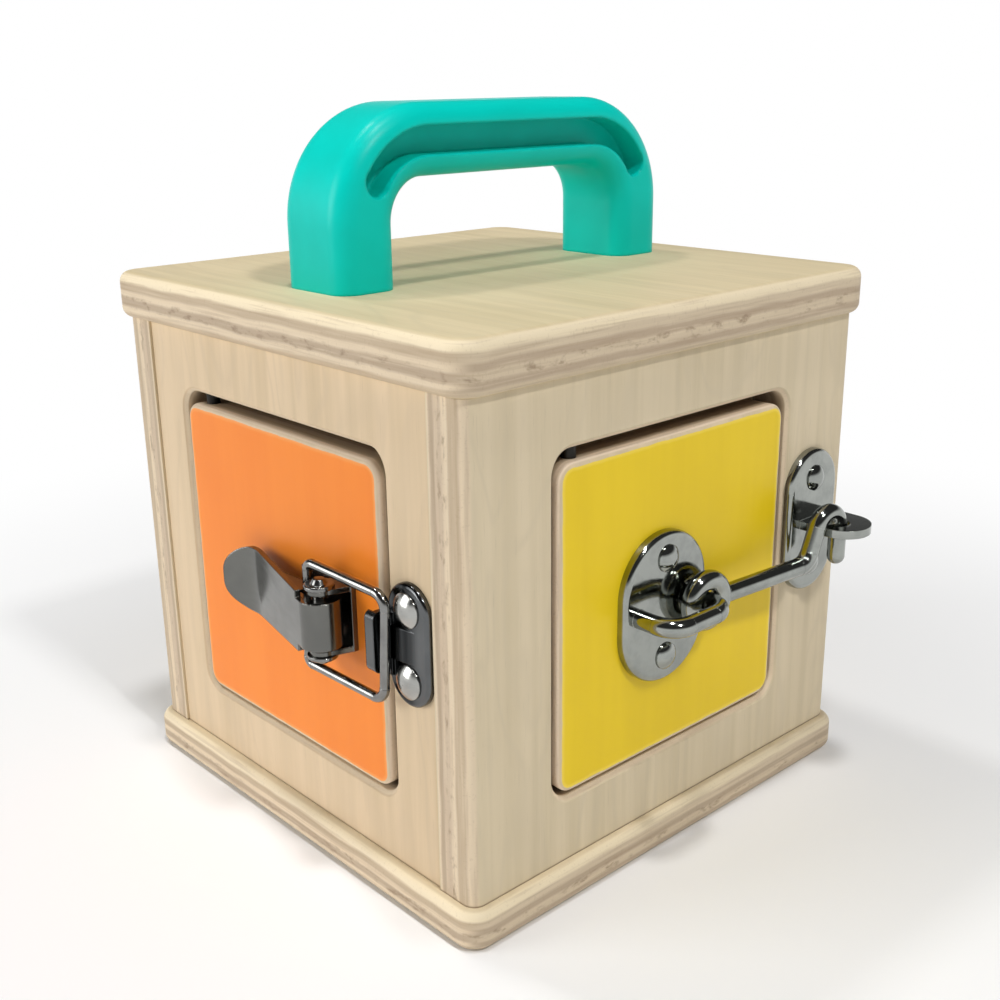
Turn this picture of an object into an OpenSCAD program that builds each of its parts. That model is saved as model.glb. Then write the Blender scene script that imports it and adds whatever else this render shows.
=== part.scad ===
// Wooden lock box toy: a plywood box with a carrying handle and two locked doors.
// Millimetres, +Z up, origin at the centre of the underside of the bottom panel.
// The front (-Y) door has a draw latch, the right (+X) door has a cabin hook.

/* [Box] */
// Width over the side panels, left to right
body_w = 120; // [110:1:140]
// Depth over the ends of the side panels, front to back
body_d = 120; // [110:1:140]
// Height of the four walls
wall_h = 102.8; // [98:0.2:125]
// Thickness of the wall panels
ply = 10; // [9.8:0.1:12]
// Thickness of the top panel
top_t = 10.6; // [8:0.1:14]
// Thickness of the bottom panel
bottom_t = 9; // [8:0.1:14]
// How far the top and bottom panels stand out past the walls
overhang = 2.3; // [1:0.1:5]
// Corner radius of the top panel, seen from above
top_corner_r = 6; // [5:0.5:10]
// Corner radius of the bottom panel, seen from above
bottom_corner_r = 5; // [5:0.5:8]
// Radius of the rounded edges of the top and bottom panels
slab_edge_r = 2.4; // [1:0.1:3.5]
// Radius on the outer upright edges of the side panels
wall_edge_r = 3; // [1:0.5:4]
// How far the front and back panels sit behind the ends of the side panels
front_recess = 0.5; // [0.2:0.1:1.5]

/* [Doors] */
// Width of each door opening
opening_w = 73.6; // [68:0.1:78]
// Height of each door opening
opening_h = 74.4; // [68:0.1:80]
// Height of the opening's lower edge above the bottom panel
opening_sill = 14.4; // [13:0.1:18]
// Sideways place of each opening from the middle of its wall, less than 0 towards the hinge
opening_shift = -0.8; // [-2:0.1:1]
// Corner radius of the opening
opening_r = 5; // [4:0.5:8]
// Width of the eased edge around the opening
opening_ease = 1; // [0.4:0.1:1.4]
// Thickness of each door
door_t = 9.5; // [7:0.1:9.8]
// Gap at the hinge side of each door
door_hinge_gap = 1.2; // [1:0.1:1.6]
// Gap at the free side of each door
door_free_gap = 1.8; // [1:0.1:2.4]
// Gap above each door
door_top_gap = 2.8; // [1.5:0.1:4]
// Gap below each door
door_bottom_gap = 1.2; // [0.8:0.1:3]
// Corner radius of each door
door_corner_r = 4; // [3:0.5:6]
// Radius of the eased edges of each door
door_edge_r = 1; // [0.6:0.1:1.4]
// Distance from a door's hinge side to its pivot pins
pivot_inset = 5.9; // [4.5:0.1:7]
// Distance from a door's face to the middle of its pivot pins
pivot_depth = 3.5; // [3:0.1:4]
// Radius of the pivot pins
pivot_r = 1.5; // [1:0.1:2]
// How far a pivot pin reaches into the door
pivot_in_door = 10; // [6:0.5:15]
// How far a pivot pin reaches into the panel
pivot_in_panel = 7; // [5:0.5:9]
// Width of the strip that a door closes against
stop_w = 10; // [8:0.5:13]
// Thickness of that strip
stop_t = 6; // [4:0.5:8]
// Height of that strip
stop_h = 60; // [40:1:66]
// How far the strip reaches into the opening
stop_reach = 4.5; // [3:0.5:6]

/* [Handle] */
// Length of the handle over its legs
handle_l = 96.8; // [84:0.2:100]
// Height of the handle above the top panel
handle_h = 37.2; // [34:0.1:45]
// Width of the handle across the grip
handle_w = 21.6; // [19:0.1:24]
// Depth of the bar and of each leg
handle_bar = 15; // [13:0.5:17]
// Bend radius at the middle of the bar
handle_bend_r = 16.5; // [14:0.5:18]
// Radius of the long rounded edges
handle_edge_r = 4.5; // [3:0.1:5.5]
// Width of the groove along each side
groove_w = 6; // [4:0.5:7]
// Depth of the groove
groove_depth = 6.5; // [3:0.5:8]
// Angle above the horizontal at which the groove ends in each bend
groove_end = 32; // [20:1:60]
// Radius of the handle screws
screw_r = 2; // [1.5:0.1:2.5]
// How far a handle screw reaches into its leg
screw_in_leg = 12; // [8:0.5:13]
// Radius of the screw heads
screw_head_r = 4; // [3.5:0.1:5]
// Height of the screw heads
screw_head_h = 2.4; // [2:0.1:3]

/* [Draw latch] */
// Height of the latch above the middle of the door opening
latch_rise = 0.1; // [-4:0.1:4]
// Distance from the opening's edge to the lever's pivot
latch_inset = 14.6; // [14.2:0.1:18]
// Distance from the door to the lever's pivot
latch_pivot_out = 6; // [5.9:0.1:7]
// Thickness of the latch's sheet metal
latch_sheet = 1.2; // [0.9:0.1:1.3]
// Length of the latch base along the door
latch_base_l = 17.2; // [15:0.1:20]
// Distance from the lever's pivot to the end of the base near the catch
latch_base_end = 4.1; // [3.6:0.1:5]
// Radius of the pivot pin
latch_pin_r = 1.45; // [1.2:0.05:1.6]
// Distance that the pin's collars stand out past the pin
pin_collar_out = 1.7; // [1.2:0.1:1.8]
// Thickness of the pin's collars
pin_collar_h = 0.9; // [0.7:0.1:1.1]
// Chamfer around the pin's collars
pin_chamfer = 0.25; // [0.15:0.05:0.4]
// Distance that the pin's small heads stand out past the pin
pin_head_out = 0.35; // [0.2:0.05:0.5]
// Height of the pin's small heads
pin_head_h = 1; // [0.6:0.1:1.2]
// Radius of the rounded ends of the base's ears
ear_r = 2.6; // [2.3:0.1:2.8]
// Outer radius of the lever's rolled nose
nose_r = 4.45; // [4.2:0.05:4.6]
// Length of the nose between the ears
nose_w = 10.2; // [9.4:0.1:10.6]
// Width of the lever beside its nose
lever_w = 13.2; // [12:0.1:14]
// Width of the lever at its finger tip
tip_w = 15.1; // [14.6:0.1:17]
// Length of the lever from its pivot to the bend of its tip
lever_l = 29.2; // [26:0.2:32]
// Slope of the lever towards the door
lever_slope = 14.1; // [12:0.1:14.2]
// Bend radius between the lever and its finger tip
tip_bend_r = 10; // [6:0.5:12]
// Length of the finger tip past its bend
tip_l = 3.1; // [2:0.1:6]
// Angle of the finger tip away from the door
tip_angle = 31; // [15:1:40]
// Distance from the lever's pivot to the bail's pivot
bail_throw = 5.1; // [4.9:0.05:5.3]
// Radius of the bail's wire
wire_r = 1; // [0.8:0.05:1.1]
// Height of the bail between the middles of its wires
bail_h = 22.6; // [20:0.1:24]
// How far the bail hangs askew in its holes, in degrees
bail_tilt = 3.5; // [0:0.1:4]
// Bend radius of the bail's outer corners
bail_corner_r = 3; // [2:0.1:4]
// Gap between the edge of the opening and the catch plate
catch_edge_gap = 1.4; // [1:0.1:2]
// Gap between the catch plate and the seam beside it
catch_seam_gap = 0.4; // [0.2:0.1:1]
// Height of the catch plate
catch_h = 25.7; // [24:0.1:28]
// Thickness of the catch plate
catch_t = 1.5; // [1.2:0.1:1.8]
// Height of the catch's turned-out lip along the door's edge
lip_h = 13; // [10:0.1:14]
// How far the lip stands out from the panel
lip_out = 4.8; // [4.6:0.1:6.5]
// How far the lip stands inside the opening's edge
lip_inset = 0.1; // [0:0.1:0.4]
// How far the middle of the lip is below the middle of the catch plate
lip_drop = 0.7; // [0:0.1:1.2]
// How far the end of the lip is turned towards the lever
lip_curl = 1.4; // [0.8:0.1:2.4]
// Gap between the lip and the bail
bail_gap = 1.15; // [1.1:0.05:1.4]
// Distance between the middles of the catch's rivets
catch_rivet_span = 15; // [14.6:0.1:17]
// Radius of the catch's rivet heads
catch_rivet_r = 3.6; // [3:0.1:3.7]

/* [Cabin hook] */
// Height of the hook's pivot against the middle of the door opening
hook_rise = -2.2; // [-5:0.1:3]
// Sideways place of the hook plate from the middle of the door
hook_shift = -5.5; // [-7:0.1:-4]
// Width of the hook plate
hook_plate_w = 25.9; // [24:0.1:28]
// Height of the hook plate
hook_plate_h = 33.4; // [31:0.1:36]
// Thickness of the hook plate
hook_plate_t = 2.2; // [1.8:0.1:2.4]
// Radius of the rounded edge of both plates
plate_edge_r = 1.2; // [0.6:0.1:1.4]
// Distance between the middles of the bow's legs
bow_span = 17.5; // [16:0.1:19]
// Distance from the door to the middle of the bow's bar
bow_out = 11.5; // [11:0.1:13]
// Radius of the bow's rod
bow_r = 2; // [1.7:0.05:2.05]
// Bend radius of the bow's corners
bow_corner_r = 4.7; // [4:0.1:4.8]
// Radius of the hook's rod
hook_r = 2.05; // [1.8:0.05:2.1]
// Radius of the rod around the hook's eye
eye_rod_r = 2.2; // [2.15:0.05:2.25]
// Radius of the middle of the hook's eye
eye_r = 4.55; // [4.5:0.05:4.9]
// Distance from the door to the middle of the eye
eye_out = 5.5; // [5.1:0.1:5.8]
// Length of the hook from its eye to its tip
hook_l = 43.5; // [42.5:0.1:46]
// Distance from the door to the middle of the hook's tip
tip_out = 8.8; // [8:0.1:9.5]
// Height of the hook's crest above its eye
crest_h = 10.8; // [10.7:0.1:12]
// Angle at which the hook climbs to its crest
climb = 70; // [66:1:76]
// Bend radius at the start of the climb
climb_r = 4; // [3:0.1:5]
// Bend radius of the crest
crest_r = 3.9; // [3.8:0.1:4.4]
// How far the tip reaches below the eye's middle
tip_drop = 2.4; // [0:0.1:3]
// Distance between the middles of the hook plate's rivets
hook_rivet_span = 22; // [21.6:0.1:24]
// Width of the keeper plate
keeper_w = 18.2; // [16:0.1:18.6]
// Height of the keeper plate
keeper_h = 34.4; // [31:0.1:36]
// Thickness of the keeper plate
keeper_t = 2; // [1.8:0.1:2.4]
// Height of the keeper's middle above the hook's eye
keeper_rise = 6.5; // [5.8:0.1:6.6]
// How far the keeper's tongue stands out from the panel
tongue_out = 15.6; // [15:0.1:18]
// Width of the tongue on the hook's side of its hole
tongue_near = 5.1; // [4.8:0.1:5.2]
// Width of the tongue on the far side of its hole
tongue_far = 7.9; // [5:0.1:8.4]
// Thickness of the tongue
tongue_t = 2; // [1.6:0.1:2.2]
// Radius of the hole in the tongue
tongue_hole_r = 2.75; // [2.6:0.05:3]
// Distance between the middles of the keeper's rivets
keeper_rivet_span = 20.8; // [20:0.1:23]
// Radius of the rivet heads on both plates
plate_rivet_r = 3; // [2.5:0.1:3.2]

/* [Fits] */
// Running clearance around pivot pins
run_fit = 0.05; // [0.02:0.01:0.1]
// Clearance around rivets, screws and pins that are fixed
tight_fit = 0.02; // [0.01:0.01:0.05]
// Clearance between the lever's nose and the ears beside it
side_fit = 0.9; // [0.7:0.05:1]
// Clearance around the bail in the lever's holes
bail_play = 0.4; // [0.35:0.05:0.5]
// Radius of the rivet shanks
shank_r = 1.5; // [1.2:0.1:1.8]
// Depth of the rivet shanks in the wood
shank_in = 7; // [4:0.5:7.5]
// Height of the rivet heads
rivet_h = 1.6; // [1.2:0.1:1.7]

/* [Hidden] */
$fn = 64;

// Cuts run this far past the faces that they open
cut = 1;
// Joined pieces run this far into each other
sink = 0.4;
// Bends of a rod are this much thicker than its straight runs
bend_swell = 0.05;

wood = "#dcc8a5";
turquoise = "#14c4b2";
orange = "#f58c46";
yellow = "#dcbe32";
steel = "#8c8c8a";
chrome = "#c8ccd0";

wall_z = bottom_t;
top_z = wall_z + wall_h;
deck_z = top_z + top_t;
front_y = -(body_d / 2 - front_recess);
right_x = body_w / 2;
inner_w = body_w - 2 * ply;

opening_z = wall_z + opening_sill + opening_h / 2;
opening_free = opening_w / 2 + opening_shift;
door_w = opening_w - door_hinge_gap - door_free_gap;
door_u = opening_free - door_free_gap - door_w / 2;
door_h = opening_h - door_top_gap - door_bottom_gap;
door_z = opening_z + (door_bottom_gap - door_top_gap) / 2;
pivot_u = door_u - door_w / 2 + pivot_inset;
stop_u = opening_free - stop_reach + stop_w / 2;

bend_y = handle_l / 2 - handle_bar / 2 - handle_bend_r;
bend_z = handle_h - handle_bar / 2 - handle_bend_r;
leg_y = handle_l / 2 - handle_bar / 2;

latch_x = opening_free - latch_inset;
latch_z = opening_z + latch_rise;
plate_z = nose_r - latch_sheet;
ear_z = nose_w / 2 + side_fit;
// The lever's side flanges sit a little inside the ends of its nose
flange_inset = 0.25;
flange_t = 1;
flange_z = nose_w / 2 - flange_inset;
// The lever is as narrow as its nose up to here, clear of the ears when it is turned over
neck_l = 2.1;
// The flanges end this far from the bend of the finger tip
flange_stop = 4;
// Metal left around the bail's pivot holes
flange_land = 2.4;
// Flats that make the bend between the lever and its finger tip
arc_steps = 24;
// The lever has its full width this far before its finger tip
taper_short = 4;
// Part of the finger tip's width that its round corners take
tip_round = 0.42;
tip_turn = lever_slope + tip_angle;
tip_bend = [lever_l - tip_bend_r * tan(tip_turn / 2), nose_r + tip_bend_r];
tip_rise = tip_bend_r * (1 - cos(tip_turn)) + tip_l * sin(tip_turn);
// Angle from the lever's pivot down to the bail's pivot
bail_drop = 4.5;
bail_pivot_u = bail_throw * cos(lever_slope - bail_drop);
bail_pivot_w = bail_throw * sin(lever_slope - bail_drop);
// Flat-headed rivets of the latch base, under the lever
latch_rivet_span = 4.6;
latch_rivet_r = 1.9;
latch_rivet_h = 0.6;
latch_rivet_x = latch_base_end - latch_base_l + latch_rivet_span / 2 + latch_rivet_r;

lip_x = opening_free - lip_inset;
// Height of the catch's tongue, under the bail, and the bail's gap above it
tongue_top = 2.3;
tongue_gap = 0.35;
bail_x = lip_x + latch_sheet + bail_gap + wire_r;
bail_out = tongue_top + wire_r + tongue_gap;
catch_w = inner_w / 2 - opening_free - catch_edge_gap - catch_seam_gap;
catch_x = inner_w / 2 - catch_seam_gap - catch_w / 2;
lip_to_plate = catch_x - lip_x;
// The tongue and the rivet heads keep this far apart
rivet_gap = 0.4;
web_h = catch_rivet_span - 2 * (catch_rivet_r + rivet_gap);
// Where the tongue's web starts to slope down, from the plate's middle
ramp_start = catch_rivet_r + rivet_gap;
// Where the web meets the plate, from the plate's far edge
ramp_edge = 3.7;
ramp_end = catch_w / 2 - ramp_edge;
bail_from = [latch_x - bail_throw * cos(bail_drop), latch_pivot_out - bail_throw * sin(bail_drop)];
bail_run = [bail_x - bail_from[0], bail_out - bail_from[1]];
bail_l = norm(bail_run);
bail_angle = atan2(-bail_run[1], bail_run[0]);
stub_bend_r = 1.6;

plate_y = door_u + hook_shift;
hook_y = plate_y + bow_span / 2;
hook_z = opening_z + hook_rise;
hook_tilt = asin((tip_out - eye_out) / hook_l);
keeper_y = hook_y + hook_l * cos(hook_tilt);
keeper_z = hook_z + keeper_rise;

// Places a shape drawn flat, with its height outward, on the front wall
module on_front(x, z) {
    translate([x, front_y, z])
        rotate([90, 0, 0])
            children();
}

// Places a shape drawn flat, with its height outward, on the right wall
module on_right(y, z) {
    translate([right_x, y, z])
        rotate([90, 0, 90])
            children();
}

// Half section of a slab: flat inside, round at its outer edge above and below
module slab_section(reach, t, r) {
    square([reach - r, t]);
    translate([0, r])
        square([reach, t - 2 * r]);
    for (y = [r, t - r])
        translate([reach - r, y])
            circle(r);
}

// Slab with round corners and rounded edges, its lower face at z = 0
module soft_slab(w, d, t, corner_r, edge_r) {
    in_w = w - 2 * corner_r;
    in_d = d - 2 * corner_r;
    translate([-in_w / 2, -in_d / 2, 0])
        cube([in_w, in_d, t]);
    for (turn = [0 : 3]) {
        along = turn % 2 == 0 ? in_d : in_w;
        out = turn % 2 == 0 ? in_w / 2 : in_d / 2;
        rotate([0, 0, 90 * turn])
            translate([out, along / 2, 0]) {
                rotate([90, 0, 0])
                    linear_extrude(along)
                        slab_section(corner_r, t, edge_r);
                rotate_extrude(angle = 90)
                    slab_section(corner_r, t, edge_r);
            }
    }
}

// Plate with half-round ends and a rounded upper edge, its lower face at z = 0
module soft_stadium(w, h, t, edge_r) {
    r = w / 2;
    straight = h - w;
    for (side = [0, 180])
        rotate([0, 0, side])
            translate([0, straight / 2, 0])
                rotate_extrude(angle = 180)
                    stadium_section(r, t, edge_r);
    for (side = [0, 180])
        rotate([0, 0, side])
            translate([0, straight / 2, 0])
                rotate([90, 0, 0])
                    linear_extrude(straight)
                        stadium_section(r, t, edge_r);
}

module stadium_section(reach, t, r) {
    square([reach - r, t]);
    square([reach, t - r]);
    translate([reach - r, t - r])
        intersection() {
            circle(r);
            square(r);
        }
}

// Flat-ended prism of a rectangle with round corners, from z = 0 up
module round_prism(w, h, r, t) {
    translate([-w / 2 + r, -h / 2, 0])
        cube([w - 2 * r, h, t]);
    translate([-w / 2, -h / 2 + r, 0])
        cube([w, h - 2 * r, t]);
    for (x = [-1, 1], y = [-1, 1])
        translate([x * (w / 2 - r), y * (h / 2 - r), 0])
            cylinder(h = t, r = r);
}

// The same rectangle growing by its height as it rises from z = 0 to z = c
module round_flare(w, h, r, c) {
    translate([0, h / 2 - r, 0])
        rotate([90, 0, 0])
            linear_extrude(h - 2 * r)
                polygon([[-w / 2, 0], [w / 2, 0], [w / 2 + c, c], [-w / 2 - c, c]]);
    translate([-w / 2 + r, 0, 0])
        rotate([90, 0, 90])
            linear_extrude(w - 2 * r)
                polygon([[-h / 2, 0], [h / 2, 0], [h / 2 + c, c], [-h / 2 - c, c]]);
    for (x = [-1, 1], y = [-1, 1])
        translate([x * (w / 2 - r), y * (h / 2 - r), 0])
            cylinder(h = c, r1 = r, r2 = r + c);
}

// What a door opening takes out of a wall whose outer face is at z = 0
module opening_cut() {
    translate([opening_shift, 0, -ply - cut])
        round_prism(opening_w, opening_h, opening_r, ply + 2 * cut);
    translate([opening_shift, 0, -opening_ease])
        round_flare(opening_w, opening_h, opening_r, opening_ease + cut);
    for (end = [1, -1])
        translate([pivot_u, end * (opening_h / 2 - sink), -pivot_depth])
            rotate([-90 * end, 0, 0])
                cylinder(h = pivot_in_panel + sink, r = pivot_r + tight_fit);
}

// Rod that runs along +X and bends left by the angles given, as [length, bend radius, bend angle]
module rod_path(steps, r, i = 0) {
    if (i < len(steps)) {
        run = steps[i][0];
        bend_r = steps[i][1];
        bend = steps[i][2];
        side = sign(bend);
        lead = i == 0 ? 0 : sink;
        tail = bend == 0 ? 0 : sink;
        translate([-lead, 0, 0])
            rotate([0, 90, 0])
                cylinder(h = lead + run + tail, r = r);
        if (bend != 0)
            translate([run, side * bend_r, 0]) {
                rotate([0, 0, side > 0 ? -90 : 90 + bend])
                    rotate_extrude(angle = abs(bend))
                        translate([bend_r, 0])
                            circle(r + bend_swell);
                rotate([0, 0, bend])
                    translate([0, -side * bend_r, 0])
                        rod_path(steps, r, i + 1);
            }
    }
}

// Dome-headed rivet whose head sits on z = 0
module rivet(head_r, sheet) {
    rim = 0.3;
    cap = rivet_h - rim;
    ball = (cap * cap + head_r * head_r) / (2 * cap);
    rotate_extrude()
        union() {
            translate([0, rim])
                intersection() {
                    translate([0, cap - ball])
                        circle(ball);
                    square([head_r, cap]);
                }
            square([head_r, rim]);
            translate([0, -sheet - shank_in])
                square([shank_r, sheet + shank_in + rim / 2]);
        }
}

module rivet_pair(span, head_r, sheet) {
    for (end = [-1, 1])
        translate([0, end * span / 2, sheet])
            rivet(head_r, sheet);
}

// Holes for a pair of rivets, from inside the wood to past the sheet on it
module rivet_holes(span, sheet = 0) {
    for (end = [-1, 1])
        translate([0, end * span / 2, -shank_in - tight_fit])
            cylinder(h = shank_in + tight_fit + sheet + cut, r = shank_r + tight_fit);
}

module bottom_panel() {
    color(wood)
        soft_slab(body_w + 2 * overhang, body_d + 2 * overhang, bottom_t, bottom_corner_r, slab_edge_r);
}

module top_panel() {
    color(wood)
        difference() {
            translate([0, 0, top_z])
                soft_slab(body_w + 2 * overhang, body_d + 2 * overhang, top_t, top_corner_r, slab_edge_r);
            for (end = [-1, 1])
                translate([0, end * leg_y, top_z - cut])
                    cylinder(h = top_t + 2 * cut, r = screw_r + tight_fit);
        }
}

// Wall between the side panels, its outer face at z = 0
module end_wall() {
    translate([-inner_w / 2, wall_z, -ply])
        cube([inner_w, wall_h, ply]);
}

module front_panel() {
    color(wood)
        difference() {
            on_front(0, 0)
                end_wall();
            on_front(0, opening_z)
                opening_cut();
            on_front(catch_x, latch_z)
                rivet_holes(catch_rivet_span);
        }
}

module back_panel() {
    color(wood)
        rotate([0, 0, 180])
            on_front(0, 0)
                end_wall();
}

// Side wall with rounded outer edges, on the right
module side_wall() {
    translate([right_x - ply, -body_d / 2, wall_z])
        cube([ply - wall_edge_r, body_d, wall_h]);
    translate([right_x - wall_edge_r, -body_d / 2 + wall_edge_r, wall_z])
        cube([wall_edge_r, body_d - 2 * wall_edge_r, wall_h]);
    for (end = [-1, 1])
        translate([right_x - wall_edge_r, end * (body_d / 2 - wall_edge_r), wall_z])
            cylinder(h = wall_h, r = wall_edge_r);
}

module left_panel() {
    color(wood)
        mirror([1, 0, 0])
            side_wall();
}

module right_panel() {
    color(wood)
        difference() {
            side_wall();
            on_right(0, opening_z)
                opening_cut();
            on_right(keeper_y, keeper_z)
                rivet_holes(keeper_rivet_span);
        }
}

// Section of the handle's bar: a rectangle with round corners
module bar_section(w, d, r) {
    square([d - 2 * r, w], center = true);
    square([d, w - 2 * r], center = true);
    for (x = [-1, 1], y = [-1, 1])
        translate([x * (d / 2 - r), y * (w / 2 - r)])
            circle(r);
}

// Sweeps a section of the bar along the top and round both bends
module over_the_top() {
    translate([0, bend_y, bend_z + handle_bend_r])
        rotate([90, 0, 0])
            linear_extrude(2 * bend_y)
                rotate([0, 0, 90])
                    children();
    for (side = [0, 180])
        rotate([0, 0, side])
            translate([0, bend_y, bend_z])
                rotate([90, 0, 90])
                    rotate_extrude(angle = 90)
                        translate([handle_bend_r, 0])
                            children();
}

// Outline of the groove, seen from the side, with round ends a little wider than the groove
module groove_outline() {
    end_swell = 0.1;
    far = 2 * handle_bend_r;
    end_at = [cos(groove_end), sin(groove_end)];
    translate([-bend_y, handle_bend_r - groove_w / 2])
        square([2 * bend_y, groove_w]);
    for (side = [0, 1])
        mirror([side, 0])
            translate([bend_y, 0]) {
                intersection() {
                    difference() {
                        circle(handle_bend_r + groove_w / 2);
                        circle(handle_bend_r - groove_w / 2);
                    }
                    polygon([[0, 0], far * end_at, [far, far], [0, far]]);
                }
                translate(handle_bend_r * end_at)
                    circle(groove_w / 2 + end_swell);
            }
}

// What the groove takes out of one side of the handle
module groove() {
    translate([handle_w / 2 - groove_depth, 0, bend_z])
        rotate([90, 0, 90])
            linear_extrude(groove_depth + cut)
                groove_outline();
}

module handle() {
    color(turquoise)
        translate([0, 0, deck_z])
            difference() {
                union() {
                    over_the_top()
                        bar_section(handle_w, handle_bar, handle_edge_r);
                    for (side = [-1, 1])
                        translate([0, side * leg_y, 0])
                            linear_extrude(bend_z)
                                rotate([0, 0, 90])
                                    bar_section(handle_w, handle_bar, handle_edge_r);
                }
                groove();
                mirror([1, 0, 0])
                    groove();
                for (side = [-1, 1])
                    translate([0, side * leg_y, -cut])
                        cylinder(h = screw_in_leg + cut + tight_fit, r = screw_r + tight_fit);
            }
}

module handle_screws() {
    color(chrome)
        for (side = [-1, 1])
            translate([0, side * leg_y, top_z]) {
                cylinder(h = top_t + screw_in_leg, r = screw_r);
                translate([0, 0, -screw_head_h])
                    cylinder(h = screw_head_h, r = screw_head_r);
            }
}

// Door with its face at z = 0 and its hinge side at -X
module door_panel() {
    difference() {
        translate([door_u, 0, -door_t])
            soft_slab(door_w, door_h, door_t, door_corner_r, door_edge_r);
        for (end = [1, -1])
            translate([pivot_u, end * (door_h / 2 + cut), -pivot_depth])
                rotate([90 * end, 0, 0])
                    cylinder(h = pivot_in_door + cut + run_fit, r = pivot_r + run_fit);
    }
}

// Upper and lower pivot pins of a door, in the door's own place
module door_pins() {
    for (end = [1, -1])
        translate([pivot_u, end * (door_h / 2 - pivot_in_door), -pivot_depth])
            rotate([-90 * end, 0, 0])
                cylinder(
                    h = pivot_in_door + pivot_in_panel + (end > 0 ? door_top_gap : door_bottom_gap),
                    r = pivot_r
                );
}

// Strip behind the free side of a door
module door_stop() {
    translate([stop_u - stop_w / 2, -stop_h / 2, -ply - stop_t])
        cube([stop_w, stop_h, stop_t]);
}

module front_door() {
    color(orange)
        difference() {
            on_front(0, door_z)
                door_panel();
            on_front(latch_x + latch_rivet_x, latch_z)
                rotate([0, 0, 90])
                    rivet_holes(latch_rivet_span);
        }
}

module front_door_pins() {
    color(steel)
        on_front(0, door_z)
            door_pins();
}

module front_door_stop() {
    color(wood)
        on_front(0, opening_z)
            door_stop();
}

module right_door() {
    color(yellow)
        difference() {
            on_right(0, door_z)
                door_panel();
            on_right(plate_y, hook_z)
                rivet_holes(hook_rivet_span);
        }
}

module right_door_pins() {
    color(steel)
        on_right(0, door_z)
            door_pins();
}

module right_door_stop() {
    color(wood)
        on_right(0, opening_z)
            door_stop();
}

// Moves the latch's parts to the lever's pivot, with -Y away from the door
module at_latch() {
    translate([latch_x, front_y - latch_pivot_out, latch_z])
        children();
}

// Turns a latch part so that X runs down the lever to its tip and Y stands out from it
module along_lever() {
    at_latch()
        rotate([0, 0, 180 - lever_slope])
            children();
}

// Outline of an ear of the latch base, seen along the pivot
module ear_outline() {
    ear_lean = 25;
    in_r = ear_r * 0.96;
    circle(ear_r);
    polygon([
        [-in_r, 0],
        [-in_r, latch_pivot_out - latch_sheet / 2],
        [latch_base_end, latch_pivot_out - latch_sheet / 2],
        [in_r * cos(ear_lean), -in_r * sin(ear_lean)]
    ]);
}

module latch_base() {
    base_h = 2 * (ear_z + latch_sheet);
    color(steel)
        difference() {
            union() {
                at_latch()
                    translate([latch_base_end - latch_base_l, latch_pivot_out - latch_sheet, -base_h / 2])
                        cube([latch_base_l, latch_sheet, base_h]);
                at_latch()
                    for (z = [ear_z, -ear_z - latch_sheet])
                        translate([0, 0, z])
                            linear_extrude(latch_sheet)
                                ear_outline();
            }
            at_latch()
                cylinder(h = base_h + 2 * cut, r = latch_pin_r + tight_fit, center = true);
            on_front(latch_x + latch_rivet_x, latch_z)
                rotate([0, 0, 90])
                    rivet_holes(latch_rivet_span, latch_sheet);
        }
}

module latch_base_rivets() {
    color(steel)
        on_front(latch_x + latch_rivet_x, latch_z)
            for (end = [-1, 1])
                translate([end * latch_rivet_span / 2, 0, -shank_in]) {
                    cylinder(h = shank_in + latch_sheet, r = shank_r);
                    translate([0, 0, shank_in + latch_sheet])
                        cylinder(h = latch_rivet_h, r = latch_rivet_r);
                }
}

// Pin with a collar outside each ear and a small head on each collar
module latch_pin() {
    collar_r = latch_pin_r + pin_collar_out;
    head_r = latch_pin_r + pin_head_out;
    crown_r = head_r * 0.65;
    reach = ear_z + latch_sheet;
    collar_z = reach + pin_collar_h;
    end_z = collar_z + pin_head_h;
    half = [
        [latch_pin_r, reach],
        [collar_r, reach],
        [collar_r, collar_z - pin_chamfer],
        [collar_r - pin_chamfer, collar_z],
        [head_r, collar_z],
        [crown_r, end_z],
        [0, end_z]
    ];
    last = len(half) - 1;
    lower = [for (i = [0 : last]) [half[last - i][0], -half[last - i][1]]];
    color(steel)
        at_latch()
            rotate_extrude()
                polygon(concat(half, lower));
}

// Outline of the lever and its finger tip, seen from outside
module lever_outline() {
    end = tip_bend[0] + tip_bend_r * sin(tip_turn) + tip_l * cos(tip_turn);
    corner = tip_w * tip_round;
    wide = lever_l - taper_short;
    polygon([
        [0, -nose_w / 2],
        [neck_l, -nose_w / 2],
        [neck_l, -lever_w / 2],
        [wide, -tip_w / 2],
        [wide, tip_w / 2],
        [neck_l, lever_w / 2],
        [neck_l, nose_w / 2],
        [0, nose_w / 2]
    ]);
    translate([wide - sink, -tip_w / 2])
        square([end - corner - wide + sink, tip_w]);
    translate([end - corner - sink, -tip_w / 2 + corner])
        square([corner + sink, tip_w - 2 * corner]);
    for (side = [-1, 1])
        translate([end - corner, side * (tip_w / 2 - corner)])
            circle(corner);
}

// Points on an arc around a middle
function arc(middle, r, from, to) =
    [for (i = [0 : arc_steps]) let (a = from + (to - from) * i / arc_steps)
        middle + r * [cos(a), sin(a)]];

// Side view of the lever's sheet, from its nose to the end of the finger tip
module lever_sheet() {
    along = [cos(tip_turn), sin(tip_turn)];
    outer_end = tip_bend + tip_bend_r * [sin(tip_turn), -cos(tip_turn)] + tip_l * along;
    inner_end = outer_end + latch_sheet * [sin(tip_turn), -cos(tip_turn)];
    polygon(concat(
        [[0, plate_z], [0, nose_r]],
        arc(tip_bend, tip_bend_r, -90, tip_turn - 90),
        [outer_end, inner_end],
        arc(tip_bend, tip_bend_r + latch_sheet, tip_turn - 90, -90)
    ));
}

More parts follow.
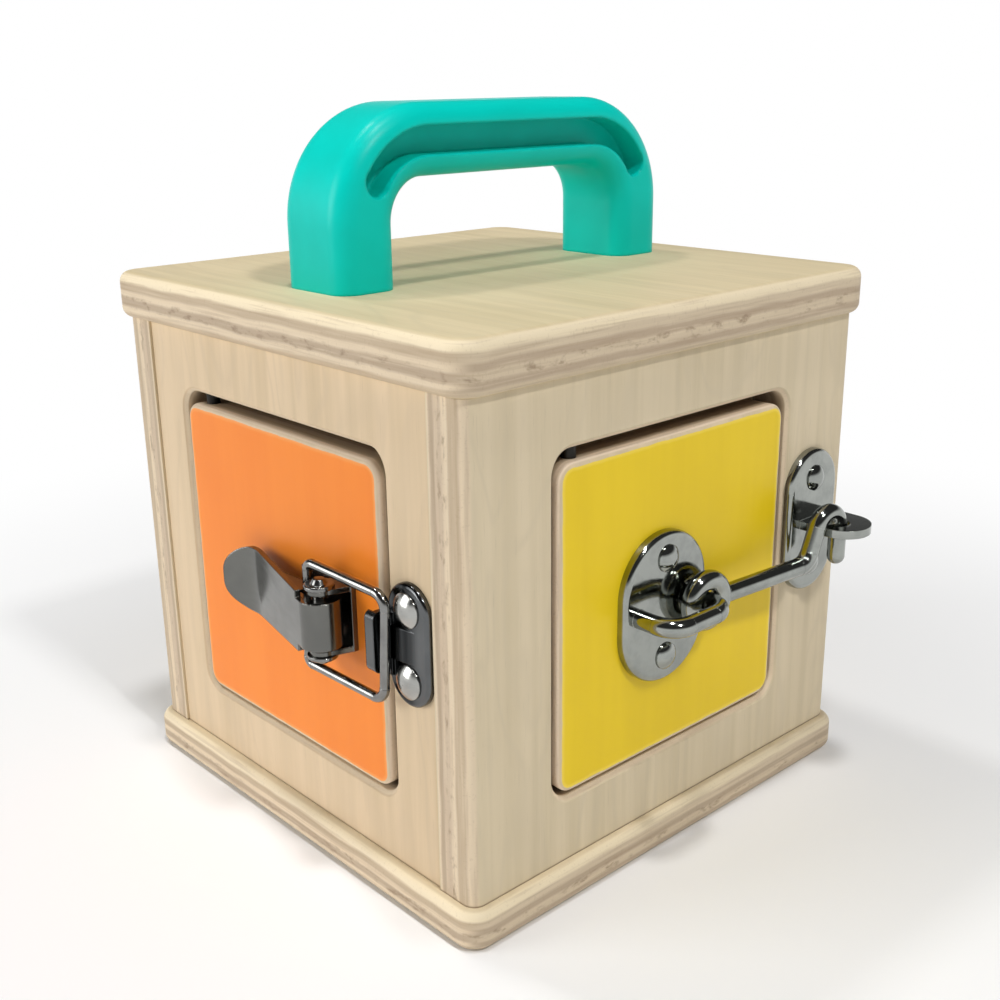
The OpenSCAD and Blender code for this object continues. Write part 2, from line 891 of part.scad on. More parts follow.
// Side flange under the lever, seen along the pivot
module flange_outline() {
    circle(plate_z + sink / 2);
    polygon([
        [-plate_z * cos(45), plate_z * sin(45)],
        [0, -plate_z],
        [bail_pivot_u + flange_land, bail_pivot_w - flange_land],
        [lever_l - flange_stop, plate_z + sink],
        [0, plate_z + sink]
    ]);
}

module latch_lever() {
    nose_sweep = 150;
    color(steel)
        along_lever()
            difference() {
                union() {
                    intersection() {
                        linear_extrude(tip_w + 2 * cut, center = true)
                            lever_sheet();
                        translate([0, nose_r + tip_rise + cut, 0])
                            rotate([90, 0, 0])
                                linear_extrude(tip_rise + latch_sheet + 2 * cut)
                                    lever_outline();
                    }
                    rotate([0, 0, 90])
                        rotate_extrude(angle = nose_sweep)
                            translate([plate_z, -nose_w / 2])
                                square([latch_sheet, nose_w]);
                    for (z = [flange_z - flange_t, -flange_z])
                        translate([0, 0, z])
                            linear_extrude(flange_t)
                                flange_outline();
                }
                cylinder(h = nose_w + 2 * cut, r = latch_pin_r + run_fit, center = true);
                translate([bail_pivot_u, bail_pivot_w, 0])
                    cylinder(h = nose_w, r = wire_r + bail_play, center = true);
            }
}

module latch_bail() {
    stub = bail_h / 2 - stub_bend_r - (flange_z - flange_t);
    arm = bail_l - stub_bend_r - bail_corner_r;
    end_bar = bail_h - 2 * bail_corner_r;
    color(steel)
        translate([bail_from[0], front_y - bail_from[1], latch_z])
            rotate([0, bail_tilt, bail_angle])
                rotate([90, 0, 0])
                    translate([0, flange_z - flange_t, 0])
                        rotate([0, 0, 90])
                            rod_path([
                                [stub, stub_bend_r, -90],
                                [arm, bail_corner_r, -90],
                                [end_bar, bail_corner_r, -90],
                                [arm, stub_bend_r, -90],
                                [stub, 0, 0]
                            ], wire_r);
}

// Side view of the catch's tongue and lip, with Y away from the panel
module tongue_outline() {
    polygon([
        [0, tongue_top - latch_sheet],
        [lip_to_plate - ramp_start, tongue_top - latch_sheet],
        [lip_to_plate - ramp_start, tongue_top],
        [latch_sheet, tongue_top],
        [latch_sheet, lip_out],
        [-lip_curl, lip_out],
        [-lip_curl, lip_out - latch_sheet],
        [0, lip_out - latch_sheet]
    ]);
}

// Side view of the web that slopes from the tongue down to the plate
module web_outline() {
    polygon([
        [lip_to_plate - ramp_start - sink, tongue_top - latch_sheet],
        [lip_to_plate - ramp_start, 0],
        [lip_to_plate + ramp_end, 0],
        [lip_to_plate + ramp_end, catch_t],
        [lip_to_plate - ramp_start, tongue_top],
        [lip_to_plate - ramp_start - sink, tongue_top]
    ]);
}

module latch_catch() {
    lip_corner_r = 1.6;
    lip_l = lip_curl + lip_to_plate;
    color(steel)
        difference() {
            union() {
                on_front(catch_x, latch_z)
                    soft_stadium(catch_w, catch_h, catch_t, catch_t * 0.6);
                translate([lip_x, front_y, latch_z])
                    mirror([0, 1, 0])
                        linear_extrude(web_h, center = true)
                            web_outline();
                intersection() {
                    translate([lip_x, front_y, latch_z - lip_drop])
                        mirror([0, 1, 0])
                            linear_extrude(lip_h, center = true)
                                tongue_outline();
                    translate([lip_x - lip_curl - cut, front_y + lip_corner_r, latch_z - lip_drop])
                        rotate([90, 0, 90])
                            translate([-lip_out / 2, 0, 0])
                                round_prism(
                                    lip_out + 2 * lip_corner_r, lip_h, lip_corner_r, lip_l + 2 * cut
                                );
                }
            }
            on_front(catch_x, latch_z)
                rivet_holes(catch_rivet_span, catch_t);
        }
}

module latch_catch_rivets() {
    color(steel)
        on_front(catch_x, latch_z)
            rivet_pair(catch_rivet_span, catch_rivet_r, catch_t);
}

module hook_plate() {
    leg = bow_out - hook_plate_t - bow_corner_r + sink;
    bar = bow_span - 2 * bow_corner_r;
    color(chrome)
        on_right(plate_y, hook_z)
            difference() {
                union() {
                    soft_stadium(hook_plate_w, hook_plate_h, hook_plate_t, plate_edge_r);
                    translate([bow_span / 2, 0, hook_plate_t - sink])
                        rotate([90, 0, 0])
                            rotate([0, 0, 90])
                                rod_path([
                                    [leg, bow_corner_r, 90],
                                    [bar, bow_corner_r, 90],
                                    [leg, 0, 0]
                                ], bow_r);
                }
                rivet_holes(hook_rivet_span, hook_plate_t);
            }
}

module hook_plate_rivets() {
    color(chrome)
        on_right(plate_y, hook_z)
            rivet_pair(hook_rivet_span, plate_rivet_r, hook_plate_t);
}

module cabin_hook() {
    crest_s = hook_l - crest_r * (1 + sin(climb));
    crest_z = crest_h - crest_r * (1 - cos(climb));
    rise = crest_z - climb_r * (1 - cos(climb));
    arm = crest_s - rise / tan(climb) - climb_r * sin(climb) - eye_r;
    color(chrome)
        on_right(hook_y, hook_z)
            translate([0, 0, eye_out])
                rotate([0, -hook_tilt, 0]) {
                    rotate_extrude()
                        translate([eye_r, 0])
                            circle(eye_rod_r);
                    translate([eye_r, 0, 0])
                        rod_path([
                            [arm, climb_r, climb],
                            [rise / sin(climb), crest_r, -climb - 90]
                        ], hook_r);
                    translate([hook_l, crest_h - crest_r + sink, 0])
                        rotate([90, 0, 0])
                            hook_tip(crest_h - crest_r + sink + tip_drop);
                }
}

// Straight end of the hook with a round tip
module hook_tip(length) {
    rotate_extrude() {
        square([hook_r, length - hook_r]);
        translate([0, length - hook_r])
            intersection() {
                circle(hook_r);
                square(hook_r);
            }
    }
}

// Keeper's tongue, lying level with its round end outward
module keeper_tongue() {
    r = (tongue_near + tongue_far) / 2;
    length = tongue_out - r;
    translate([0, -tongue_t / 2, 0])
        rotate([-90, 0, 0])
            difference() {
                linear_extrude(tongue_t)
                    translate([r - tongue_near, -length]) {
                        translate([-r, 0])
                            square([2 * r, length]);
                        circle(r);
                    }
                translate([0, -tip_out, -cut])
                    cylinder(h = tongue_t + 2 * cut, r = tongue_hole_r);
            }
}

module keeper_plate() {
    color(chrome)
        on_right(keeper_y, keeper_z)
            difference() {
                union() {
                    soft_stadium(keeper_w, keeper_h, keeper_t, plate_edge_r);
                    keeper_tongue();
                }
                rivet_holes(keeper_rivet_span, keeper_t);
            }
}

module keeper_rivets() {
    color(chrome)
        on_right(keeper_y, keeper_z)
            rivet_pair(keeper_rivet_span, plate_rivet_r, keeper_t);
}

bottom_panel();
top_panel();
front_panel();
back_panel();
left_panel();
right_panel();
handle();
handle_screws();
front_door();
front_door_pins();
front_door_stop();
right_door();
right_door_pins();
right_door_stop();
latch_base();
latch_base_rivets();
latch_pin();
latch_lever();
latch_bail();
latch_catch();
latch_catch_rivets();
hook_plate();
hook_plate_rivets();
cabin_hook();
keeper_plate();
keeper_rivets();
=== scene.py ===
"""Looks of the wooden lock box toy: materials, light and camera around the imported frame."""

import math

import bpy
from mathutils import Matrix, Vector


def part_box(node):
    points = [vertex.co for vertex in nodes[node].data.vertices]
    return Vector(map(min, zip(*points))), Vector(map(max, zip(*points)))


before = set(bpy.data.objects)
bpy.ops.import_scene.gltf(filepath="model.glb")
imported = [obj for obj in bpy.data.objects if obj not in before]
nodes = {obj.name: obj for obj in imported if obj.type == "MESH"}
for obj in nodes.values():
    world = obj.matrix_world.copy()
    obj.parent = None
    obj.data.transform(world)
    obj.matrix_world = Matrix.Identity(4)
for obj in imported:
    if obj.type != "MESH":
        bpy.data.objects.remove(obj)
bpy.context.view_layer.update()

MM = 0.001
AXES = "XYZ"
GRAIN_HEIGHT = 0.03 * MM
SKIN_HEIGHT = 0.02 * MM
SOFT_EDGE = 0.4 * MM


def srgb(red, green, blue):
    """A colour as it looks on screen, 0 to 255, as the linear colour that shaders take."""

    def linear(value):
        value /= 255
        return value / 12.92 if value <= 0.04045 else ((value + 0.055) / 1.055) ** 2.4

    return (linear(red), linear(green), linear(blue), 1.0)


class Shader:
    """A node material with short calls for the nodes that it is made of."""

    def __init__(self, name):
        self.material = bpy.data.materials.new(name)
        self.material.use_nodes = True
        self.tree = self.material.node_tree
        self.surface = self.tree.nodes["Principled BSDF"]
        coordinates = self.node("ShaderNodeTexCoord")
        self.place = coordinates.outputs["Object"]
        self.facing = coordinates.outputs["Normal"]

    def node(self, kind, **settings):
        made = self.tree.nodes.new(kind)
        for key, value in settings.items():
            setattr(made, key, value)
        return made

    def feed(self, socket, value):
        """Links an output to a socket, or sets the socket to a number, colour or vector."""
        if isinstance(value, bpy.types.NodeSocket):
            self.tree.links.new(value, socket)
        else:
            socket.default_value = value

    def math(self, operation, a, b=0.0, c=0.0):
        made = self.node("ShaderNodeMath", operation=operation)
        for socket, value in zip(made.inputs, (a, b, c)):
            self.feed(socket, value)
        return made.outputs[0]

    def vector(self, operation, a, b=(0, 0, 0)):
        made = self.node("ShaderNodeVectorMath", operation=operation)
        self.feed(made.inputs[0], a)
        self.feed(made.inputs[1], b)
        return made.outputs["Value" if operation == "LENGTH" else "Vector"]

    def part(self, vector, axis):
        """One coordinate of a vector."""
        made = self.node("ShaderNodeSeparateXYZ")
        self.feed(made.inputs[0], vector)
        return made.outputs[AXES.index(axis)]

    def between(self, value, low, high, to_low=0.0, to_high=1.0, smooth=True):
        """Maps a value from one range to another, and stops at the ends."""
        made = self.node("ShaderNodeMapRange")
        made.interpolation_type = "SMOOTHSTEP" if smooth else "LINEAR"
        for socket, number in zip(made.inputs, (value, low, high, to_low, to_high)):
            self.feed(socket, number)
        return made.outputs[0]

    def mix(self, factor, a, b, blend="MIX"):
        """Mixes two colours."""
        made = self.node("ShaderNodeMix", data_type="RGBA", blend_type=blend)
        self.feed(made.inputs["Factor"], factor)
        self.feed(made.inputs["A"], a)
        self.feed(made.inputs["B"], b)
        return made.outputs["Result"]

    def noise(self, stretch, detail=3.0, roughness=0.55, distortion=0.0, shift=(0, 0, 0)):
        """Noise whose cells are the given number of millimetres along X, Y and Z."""
        scale = tuple(1 / (size * MM) for size in stretch)
        spread = self.vector("MULTIPLY", self.place, scale)
        made = self.node("ShaderNodeTexNoise")
        self.feed(made.inputs["Vector"], self.vector("ADD", spread, shift))
        made.inputs["Scale"].default_value = 1.0
        made.inputs["Detail"].default_value = detail
        made.inputs["Roughness"].default_value = roughness
        made.inputs["Distortion"].default_value = distortion
        return made.outputs["Fac"]

    def bands(self, value, stops):
        """Colours in bands along 0 to 1, from (end of band, colour) pairs."""
        blur = 0.03
        points = []
        start = 0.0
        for end, colour in stops:
            points += [(start + blur, colour), (end - blur, colour)]
            start = end
        made = self.node("ShaderNodeValToRGB")
        marks = made.color_ramp.elements
        for mark, (at, colour) in zip(marks, (points[0], points[-1])):
            mark.position = at
            mark.color = colour
        for at, colour in points[1:-1]:
            marks.new(at).color = colour
        self.feed(made.inputs["Fac"], value)
        return made.outputs["Color"]

    def bump(self, height, distance, strength=1.0, soften=0.0):
        """Bump of a real height, in metres, over edges that are softened by a radius."""
        made = self.node("ShaderNodeBump")
        made.inputs["Strength"].default_value = strength
        made.inputs["Distance"].default_value = distance
        self.feed(made.inputs["Height"], height)
        if soften:
            edge = self.node("ShaderNodeBevel", samples=6)
            edge.inputs["Radius"].default_value = soften
            self.feed(made.inputs["Normal"], edge.outputs["Normal"])
        self.feed(self.surface.inputs["Normal"], made.outputs["Normal"])

    def finish(self, colour, roughness, **constants):
        self.feed(self.surface.inputs["Base Color"], colour)
        self.feed(self.surface.inputs["Roughness"], roughness)
        for key, value in constants.items():
            self.surface.inputs[key.replace("_", " ")].default_value = value
        return self.material


# Plies of a panel from its outer face inward: where each ends, as a share of the thickness,
# and its colours on two neighbouring edges. Each ply lies across the one below, so the ply that
# shows pale long grain on one edge shows dark end grain on the next.
CREAM = srgb(236, 220, 188)
PALE = srgb(228, 209, 180)
PINK = srgb(208, 188, 162)
TAN = srgb(200, 180, 152)
BROWN = srgb(190, 170, 145)
STRAW = srgb(214, 196, 168)
BLUSH = srgb(248, 228, 203)
PLIES = [
    (0.20, CREAM, CREAM),
    (0.38, TAN, STRAW),
    (0.53, PALE, BROWN),
    (0.71, BROWN, STRAW),
    (0.84, PALE, BROWN),
    (1.00, TAN, STRAW),
]
DOOR_PLIES = [(0.20, BLUSH, BLUSH)] + PLIES[1:]
WALL_PLIES = [
    (0.17, PALE, PALE),
    (0.43, PALE, TAN),
    (0.58, PINK, PALE),
    (0.79, BROWN, PINK),
    (0.92, PINK, BROWN),
    (1.00, PALE, PALE),
]
DARK_GRAIN = srgb(158, 132, 103)
LIGHT_GRAIN = srgb(238, 221, 190)
DARK_PATCH = srgb(146, 122, 98)
GLUE_LINE = srgb(112, 86, 62)
# Sawn edges: brown from the saw, and darker still as painted shade deep in the door gaps
BROWN_AND_GAP_SHADE = srgb(104, 78, 55)
# Long streaks in the veneer are darker and a little yellower than the rest
STREAK_TINT = (0.89, 0.88, 0.83, 1.0)


def stretched(axis, along, across):
    """Cell sizes of a noise that runs along one axis."""
    return tuple(along if name == axis else across for name in AXES)


def shade(colour, change):
    """A colour made lighter or darker by a percentage of its light."""
    return tuple(part * (1 + change / 100) for part in colour[:3]) + (1.0,)


def veneer_colour(s, grain, tone, seed):
    """Birch face: soft streaks along the grain, fine fibres and broad changes of tone."""
    shift = (seed, 2 * seed, 3 * seed)
    streaks = s.noise(stretched(grain, 150, 4.5), 4, 0.5, 0.5, shift)
    figure = s.noise(stretched(grain, 95, 24), 2, 0.45, 1.2, shift)
    fibres = s.noise(stretched(grain, 8, 0.40), 2, 0.6, 0.0, shift)
    cloud = s.noise((48, 48, 48), 2, 0.5, 0.0, shift)
    olive = tuple(part * tint for part, tint in zip(tone, STREAK_TINT))
    colour = s.mix(s.between(streaks, 0.30, 0.74), shade(tone, 4), olive)
    rings = s.math("PINGPONG", s.math("MULTIPLY", figure, 6.0), 0.5)
    colour = s.mix(s.between(rings, 0.22, 0.5, 0.0, 0.40), colour, shade(tone, -13))
    colour = s.mix(s.between(cloud, 0.35, 0.68, 0.0, 0.45), colour, shade(tone, 9))
    flecks = s.between(fibres, 0.60, 0.76, 0.0, 0.32)
    return s.mix(flecks, colour, shade(tone, -24)), fibres


def ply_edge_colour(s, axis, depth, plies, seed):
    """Striped edge: the plies in bands, with end grain, streaks and a few dark patches."""
    waviness = 0.03
    corner_blend = 0.7
    shift = (3 * seed, seed, 2 * seed)
    wave = s.noise((16, 16, 16), 2, 0.5, 0.0, shift)
    wave = s.between(wave, 0.25, 0.75, -waviness, waviness, False)
    level = s.math("ADD", depth, wave)
    one_edge = s.bands(level, [(end, colour) for end, colour, _ in plies])
    next_edge = s.bands(level, [(end, colour) for end, _, colour in plies])
    first, second = (
        s.math("ABSOLUTE", s.part(s.facing, name)) for name in reversed(AXES) if name != axis
    )
    turned = s.between(s.math("SUBTRACT", second, first), -corner_blend, corner_blend)
    colour = s.mix(turned, one_edge, next_edge)
    streaks = s.noise(stretched(axis, 0.7, 22), 3, 0.5, 0.0, shift)
    colour = s.mix(s.between(streaks, 0.50, 0.72, 0.0, 0.26), colour, DARK_GRAIN)
    colour = s.mix(s.between(streaks, 0.46, 0.28, 0.0, 0.26), colour, LIGHT_GRAIN)
    pores = s.noise(stretched(axis, 0.9, 0.5), 2, 0.6, 0.0, shift)
    colour = s.mix(s.between(pores, 0.56, 0.74, 0.0, 0.16), colour, DARK_GRAIN)
    patch = s.noise(stretched(axis, 1.6, 4), 3, 0.6, 0.2, shift)
    middle = s.math("MULTIPLY", s.between(depth, 0.44, 0.54), s.between(depth, 0.78, 0.68))
    dark = s.math("MULTIPLY", middle, s.between(patch, 0.50, 0.76, 0.0, 0.75))
    return s.mix(dark, colour, DARK_PATCH)


def sawn_and_gap_shaded_edge(s, colour, axis, depth, door):
    """Edges of a door and its opening: saw-browned, with painted shade deepening into the gap."""
    margin = 2.5 * MM
    pale_to = 0.12
    brown_from = 0.45
    low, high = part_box(door)
    apart = s.vector("ABSOLUTE", s.vector("SUBTRACT", s.place, tuple((low + high) / 2)))
    # Painted shade: darker the deeper into the gap, on top of the saw's brown
    browned_and_shaded = s.between(depth, pale_to, brown_from, 0.0, 0.7)
    for at, name in enumerate(AXES):
        if name != axis:
            reach = (high[at] - low[at]) / 2 + margin
            near = s.math("LESS_THAN", s.part(apart, name), reach)
            browned_and_shaded = s.math("MULTIPLY", browned_and_shaded, near)
    return s.mix(browned_and_shaded, colour, BROWN_AND_GAP_SHADE)


def wood_colour(s, axis, outer, inner, grain, tone, plies, seed, door=None):
    """Colour of a panel from its place across the thickness, and the fibres for its bump."""
    depth = s.between(s.part(s.place, axis), outer, inner, 0.0, 1.0, False)
    face, fibres = veneer_colour(s, grain, tone, seed)
    edge = ply_edge_colour(s, axis, depth, plies, seed)
    if door:
        edge = sawn_and_gap_shaded_edge(s, edge, axis, depth, door)
    skin = 0.012
    inside = s.math(
        "MULTIPLY",
        s.between(depth, skin, 4 * skin),
        s.between(depth, 1 - skin, 1 - 4 * skin),
    )
    return s.mix(inside, face, edge), fibres


def seam(s, colour, axis, at):
    """A thin dark joint line where a panel meets its neighbour."""
    line = 0.1 * MM
    faded = 0.55 * MM
    apart = s.math("ABSOLUTE", s.math("SUBTRACT", s.part(s.place, axis), at))
    return s.mix(s.between(apart, line, faded, 0.6, 0.0), colour, GLUE_LINE)


def plywood(node, axis, grain, tone, seed, outward=1, wall=False, door=None):
    """Lacquered plywood for one panel. A wall has a joint line along its foot.

    The plies lie across axis, outward is the side of the good face along it, and door is the
    node that closes an opening in the panel.
    """
    low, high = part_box(node)
    at = AXES.index(axis)
    outer, inner = (high[at], low[at]) if outward > 0 else (low[at], high[at])
    s = Shader("plywood_" + node)
    plies = WALL_PLIES if wall else PLIES
    colour, fibres = wood_colour(s, axis, outer, inner, grain, tone, plies, seed, door)
    if wall:
        colour = seam(s, colour, "Z", low.z)
    s.bump(fibres, GRAIN_HEIGHT, 0.5, SOFT_EDGE)
    roughness = s.between(fibres, 0.3, 0.7, 0.48, 0.60)
    return s.finish(colour, roughness, Specular_IOR_Level=0.25)


def painted_door(node, axis, paints, seed, outward):
    """Plywood door with a painted face that stops short of its eased edges.

    The paints are the colour, a deeper tone of it and a painted highlight along its border.
    """
    paint, deep, painted_border_highlight = paints
    low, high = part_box(node)
    at = AXES.index(axis)
    face, back = (high[at], low[at]) if outward > 0 else (low[at], high[at])
    s = Shader("painted_" + node)
    wood, fibres = wood_colour(s, axis, face, back, "Z", DOOR_WOOD, DOOR_PLIES, seed, node)
    # Distance past a rectangle with round corners, on the face
    bare_rim = 0.95 * MM
    corner = 2.7 * MM
    ragged = 0.12 * MM
    wrapped = 0.2 * MM
    bare_from = 0.35 * MM
    middle = (low + high) / 2
    reach = (high - low) / 2 - Vector((bare_rim + corner,) * 3)
    reach[at] = 1.0
    centred = s.vector("ABSOLUTE", s.vector("SUBTRACT", s.place, tuple(middle)))
    past = s.vector("MAXIMUM", s.vector("SUBTRACT", centred, tuple(reach)), (0, 0, 0))
    wobble = s.between(s.noise((4, 4, 4), 2), 0.3, 0.7, -ragged, ragged, False)
    distance = s.math("ADD", s.vector("LENGTH", past), wobble)
    inside = s.between(distance, corner + ragged, corner - ragged)
    below = s.math("ABSOLUTE", s.math("SUBTRACT", s.part(s.place, axis), face))
    painted = s.math("MULTIPLY", inside, s.between(below, bare_from, wrapped))
    # Rolled paint: faint grain below it, broad changes of tone and a painted highlight along its
    # border
    roll = s.noise(stretched("Z", 90, 7), 3)
    tone = s.noise((30, 30, 30), 2)
    colour = s.mix(s.between(roll, 0.35, 0.7, 0.0, 0.5), paint, deep)
    colour = s.mix(s.between(tone, 0.4, 0.7, 0.0, 0.4), colour, deep)
    # Painted highlight along the border of the paint
    border = s.between(distance, corner - 1.0 * MM, corner - 0.2 * MM, 0.0, 0.6)
    colour = s.mix(border, colour, painted_border_highlight)
    skin = s.noise((0.9, 0.9, 0.9), 2)
    height = s.math("ADD", s.math("MULTIPLY", skin, 0.6), s.math("MULTIPLY", roll, 0.8))
    height = s.math("ADD", height, s.math("MULTIPLY", fibres, 0.3))
    s.bump(height, GRAIN_HEIGHT, 0.5, SOFT_EDGE)
    roughness = s.between(painted, 0.0, 1.0, 0.55, 0.36, False)
    return s.finish(s.mix(painted, wood, colour), roughness, Specular_IOR_Level=0.3)


def moulded_plastic():
    """Turquoise plastic with a soft gloss, flow marks and a fine moulded skin."""
    s = Shader("turquoise_plastic")
    flow = s.noise((30, 46, 22), 3, 0.5, 0.8)
    skin = s.noise((0.5, 0.5, 0.5), 2)
    colour = s.mix(s.between(flow, 0.35, 0.68), srgb(0, 208, 195), srgb(0, 199, 185))
    s.bump(skin, SKIN_HEIGHT, 0.4, 1.0 * MM)
    roughness = s.between(flow, 0.3, 0.7, 0.30, 0.38)
    return s.finish(colour, roughness, Specular_IOR_Level=0.14)


# Painted shade and dark reflection for the hollow of a bend
BEND_SHADE = srgb(32, 34, 35)


def brushed_metal(name, bright, dull, along, low, high, shade_at=None):
    """Plated sheet with faint drawn lines along one axis, cloudy, with painted shade in a bend at
    an X.

    Its roughness goes from low to high.
    """
    bend = 1.5 * MM
    clear = 5.5 * MM
    s = Shader(name)
    lines = s.noise(stretched(along, 40, 1.4), 2, 0.5)
    cloud = s.noise((9, 9, 9), 2)
    colour = s.mix(s.between(cloud, 0.35, 0.70), bright, dull)
    # Painted shade and dark reflection in the bend
    if shade_at:
        apart = s.math("ABSOLUTE", s.math("SUBTRACT", s.part(s.place, "X"), shade_at))
        colour = s.mix(s.between(apart, bend, clear, 0.9, 0.0), colour, BEND_SHADE)
    colour = s.mix(s.between(lines, 0.45, 0.75, 0.0, 0.35), colour, dull)
    s.bump(cloud, SKIN_HEIGHT, 0.2, SOFT_EDGE)
    roughness = s.between(s.math("ADD", lines, cloud), 0.7, 1.3, low, high)
    return s.finish(colour, roughness, Metallic=1.0)


def polished_metal(name, bright, dull, low, high):
    """Bright plate with a faint cloud and fine handling marks. Its roughness is low to high."""
    s = Shader(name)
    cloud = s.noise((5, 5, 5), 4, 0.6)
    marks = s.noise((0.25, 2.4, 1.1), 2, 0.7, 1.5)
    colour = s.mix(s.between(cloud, 0.35, 0.7), bright, dull)
    wear = s.math("ADD", s.math("MULTIPLY", cloud, 0.6), s.math("MULTIPLY", marks, 0.4))
    s.bump(cloud, SKIN_HEIGHT, 0.3, 0.3 * MM)
    roughness = s.between(wear, 0.35, 0.65, low, high)
    return s.finish(colour, roughness, Metallic=1.0)


def dress(node, material):
    """Gives a CAD node its material."""
    slots = nodes[node].data.materials
    slots.clear()
    slots.append(material)


# Box: each panel is a sheet of its own, a little warmer or greyer than the next
FRONT_WOOD = srgb(222, 199, 166)
RIGHT_WOOD = srgb(219, 203, 173)
TOP_WOOD = srgb(220, 202, 165)
OTHER_WOOD = srgb(219, 201, 168)
DOOR_WOOD = srgb(222, 202, 172)
PANELS = {
    "top_panel": dict(axis="Z", grain="X", tone=TOP_WOOD, seed=1.7),
    "bottom_panel": dict(axis="Z", grain="X", tone=OTHER_WOOD, seed=5.3),
    "front_panel": dict(
        axis="Y", grain="Z", tone=FRONT_WOOD, seed=2.9, outward=-1, wall=True, door="front_door"
    ),
    "back_panel": dict(axis="Y", grain="Z", tone=OTHER_WOOD, seed=8.1, wall=True),
    "left_panel": dict(axis="X", grain="Z", tone=OTHER_WOOD, seed=3.7, outward=-1, wall=True),
    "right_panel": dict(
        axis="X", grain="Z", tone=RIGHT_WOOD, seed=6.1, wall=True, door="right_door"
    ),
    "front_door_stop": dict(axis="Y", grain="Z", tone=OTHER_WOOD, seed=9.4),
    "right_door_stop": dict(axis="X", grain="Z", tone=OTHER_WOOD, seed=10.2, outward=-1),
}
for node, sheet in PANELS.items():
    dress(node, plywood(node, **sheet))
dress("handle", moulded_plastic())

# Doors
# Each paint: its colour, a deeper tone of it and a painted highlight along its border
ORANGE = (srgb(254, 143, 42), srgb(248, 134, 36), srgb(255, 170, 92))
YELLOW = (srgb(243, 209, 22), srgb(235, 200, 16), srgb(255, 226, 90))
dress("front_door", painted_door("front_door", "Y", ORANGE, 4.4, outward=-1))
dress("right_door", painted_door("right_door", "X", YELLOW, 7.2, outward=1))

# Hardware
nickel = brushed_metal("satin_nickel", srgb(116, 116, 112), srgb(108, 108, 105), "X", 0.15, 0.22)
catch_left, catch_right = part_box("latch_catch")
catch_bend = (catch_left.x + catch_right.x) / 2
# The catch's nickel is darker than the lever's: a painted dark reflection, with painted shade in
# its bend
catch_nickel_dark_reflection = brushed_metal(
    "catch_nickel_dark_reflection", srgb(104, 106, 107), srgb(94, 96, 97), "Z", 0.12, 0.20, catch_bend
)
drawn_wire = polished_metal("nickel_wire", srgb(142, 142, 140), srgb(124, 124, 122), 0.12, 0.22)
rivet_plate = polished_metal("rivet_plate", srgb(176, 176, 172), srgb(156, 156, 152), 0.14, 0.26)
chrome = polished_metal("bright_plate", srgb(160, 163, 158), srgb(146, 149, 145), 0.06, 0.14)
zinc = polished_metal("zinc_steel", srgb(92, 90, 87), srgb(74, 73, 71), 0.30, 0.42)
# Hinge pins: dark steel, darkened partly as painted shade of the door gaps they sit in
dark_steel_and_gap_shade = polished_metal("dark_steel_and_gap_shade", srgb(56, 54, 51), srgb(45, 44, 42), 0.38, 0.50)
METALS = [
    (nickel, ["latch_base", "latch_base_rivets", "latch_lever"]),
    (catch_nickel_dark_reflection, ["latch_catch"]),
    (drawn_wire, ["latch_pin", "latch_bail"]),
    (rivet_plate, ["latch_catch_rivets"]),
    (chrome, ["hook_plate", "hook_plate_rivets", "cabin_hook", "keeper_plate", "keeper_rivets"]),
    (zinc, ["handle_screws"]),
    (dark_steel_and_gap_shade, ["front_door_pins", "right_door_pins"]),
]
for metal, names in METALS:
    for node in names:
        dress(node, metal)


def pale_floor():
    """A pale round floor that keeps the shadow and fades to the white of the backdrop."""
    radius = 6.0
    fade_from = 0.07
    fade_to = 0.32
    bpy.ops.mesh.primitive_circle_add(vertices=96, radius=radius, fill_type="NGON")
    floor = bpy.context.object
    floor.name = "floor"
    s = Shader("pale_floor")
    s.finish(srgb(246, 246, 246), 0.9, Specular_IOR_Level=0.0)
    ray = s.node("ShaderNodeLightPath")
    seen = s.math("MAXIMUM", ray.outputs["Is Camera Ray"], ray.outputs["Is Glossy Ray"])
    seen = s.math("MAXIMUM", seen, ray.outputs["Is Transmission Ray"])
    far = s.between(s.vector("LENGTH", s.place), fade_from, fade_to)
    glow = s.node("ShaderNodeEmission")
    join = s.node("ShaderNodeMixShader")
    s.feed(join.inputs[0], s.math("MULTIPLY", seen, far))
    s.feed(join.inputs[1], s.surface.outputs[0])
    s.feed(join.inputs[2], glow.outputs[0])
    s.feed(s.tree.nodes["Material Output"].inputs["Surface"], join.outputs[0])
    floor.data.materials.append(s.material)


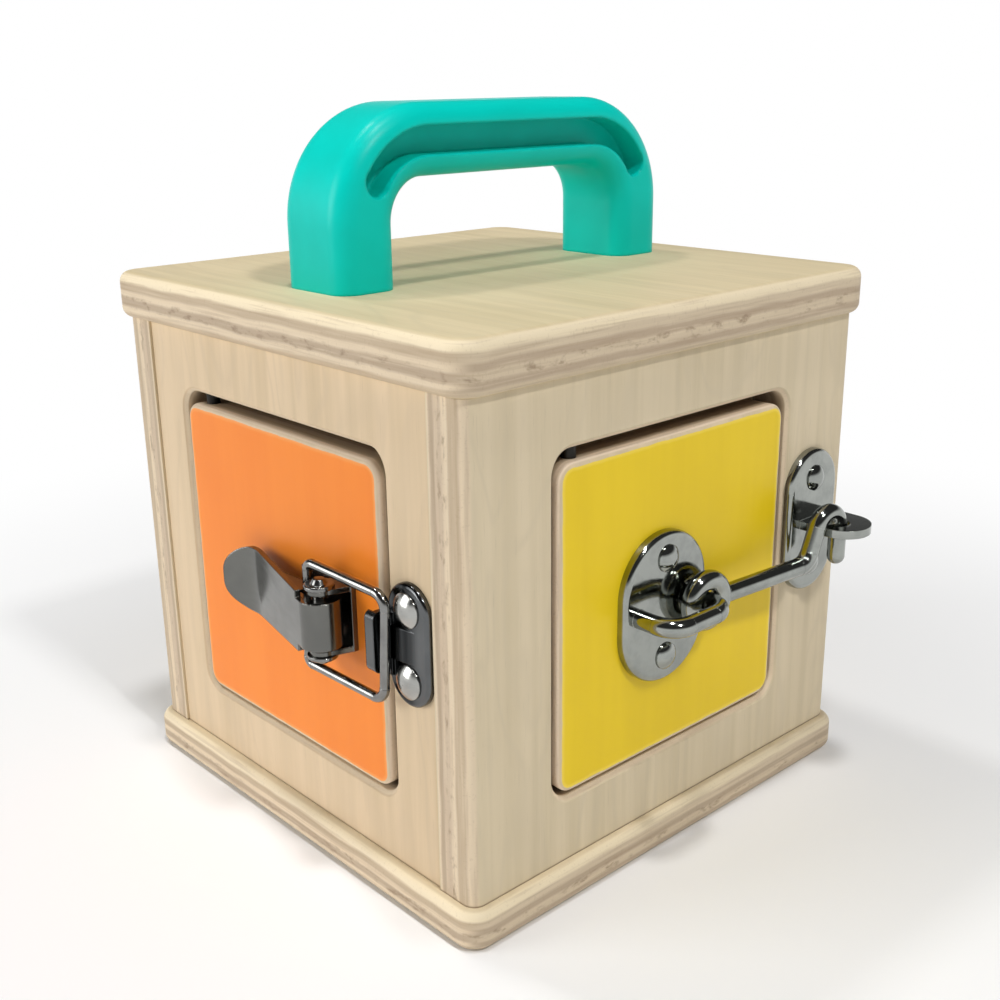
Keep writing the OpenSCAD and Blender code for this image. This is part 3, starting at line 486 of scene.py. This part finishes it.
def studio_world(light):
    """White to the camera. In mirrors and as light it is white at the horizon and dark overhead."""
    world = bpy.data.worlds.new("studio")
    world.use_nodes = True
    tree = world.node_tree
    sky = tree.nodes["Background"]

    def linked(kind, operation, *inputs):
        made = tree.nodes.new(kind)
        if operation:
            made.operation = operation
        for socket, value in zip(made.inputs, inputs):
            if isinstance(value, bpy.types.NodeSocket):
                tree.links.new(value, socket)
            else:
                socket.default_value = value
        return made.outputs

    def dome(white_up_to, dark_from, horizon, ceiling):
        """Brightness by the sine of the height above the horizon."""
        return linked("ShaderNodeMapRange", None, up, white_up_to, dark_from, horizon, ceiling)[0]

    ray = linked("ShaderNodeLightPath", None)
    up = linked("ShaderNodeSeparateXYZ", None, linked("ShaderNodeTexCoord", None)["Generated"])["Z"]
    lit = dome(white_up_to=0.24, dark_from=0.50, horizon=light, ceiling=0.22 * light)
    mirrored = dome(white_up_to=0.10, dark_from=0.34, horizon=1.0, ceiling=0.05)
    strength = linked("ShaderNodeMapRange", None, ray["Is Glossy Ray"], 0.0, 1.0, lit, mirrored)[0]
    seen = linked("ShaderNodeMath", "MAXIMUM", ray["Is Camera Ray"], ray["Is Transmission Ray"])[0]
    strength = linked("ShaderNodeMapRange", None, seen, 0.0, 1.0, strength, 1.0)[0]
    sky.inputs["Color"].default_value = (1, 1, 1, 1)
    tree.links.new(strength, sky.inputs["Strength"])
    bpy.context.scene.world = world


BOX_MIDDLE = (0, 0, 0.07)
LAMP_SIZE = 0.11


def soft_lamp(name, at, size, watts):
    """A square softbox that faces the middle of the box."""
    lamp = bpy.data.lights.new(name, "AREA")
    lamp.size = size
    lamp.energy = watts
    holder = bpy.data.objects.new(name, lamp)
    holder.location = at
    aim = Vector(BOX_MIDDLE) - Vector(at)
    holder.rotation_euler = aim.to_track_quat("-Z", "Y").to_euler()
    bpy.context.scene.collection.objects.link(holder)


pale_floor()
studio_world(light=0.42)
# Three lamps overhead, whose shadows of the handle fall side by side, and a soft one in front
soft_lamp("overhead", (0.22, -0.12, 1.24), LAMP_SIZE, 4.5)
soft_lamp("overhead_right", (0.76, -0.08, 0.98), LAMP_SIZE, 5.0)
soft_lamp("overhead_left", (-0.45, -0.12, 1.18), LAMP_SIZE, 2.6)
soft_lamp("front", (-0.6, -1.1, 0.45), 0.7, 8.1)

# Camera of the photograph, found from the box's own edges
PHOTO_WIDTH = 1000
FOCAL_PIXELS = 1284.6
CAMERA_AT = (0.22170, -0.19951, 0.16441)
CAMERA_TURN = (71.718, 0.706, 47.304)
camera_data = bpy.data.cameras.new("photo_camera")
camera_data.sensor_width = 36.0
camera_data.lens = FOCAL_PIXELS * camera_data.sensor_width / PHOTO_WIDTH
camera_data.clip_start = 0.01
camera = bpy.data.objects.new("photo_camera", camera_data)
camera.location = CAMERA_AT
camera.rotation_euler = [math.radians(angle) for angle in CAMERA_TURN]
bpy.context.scene.collection.objects.link(camera)
bpy.context.scene.camera = camera

bpy.context.scene.view_settings.view_transform = "Standard"
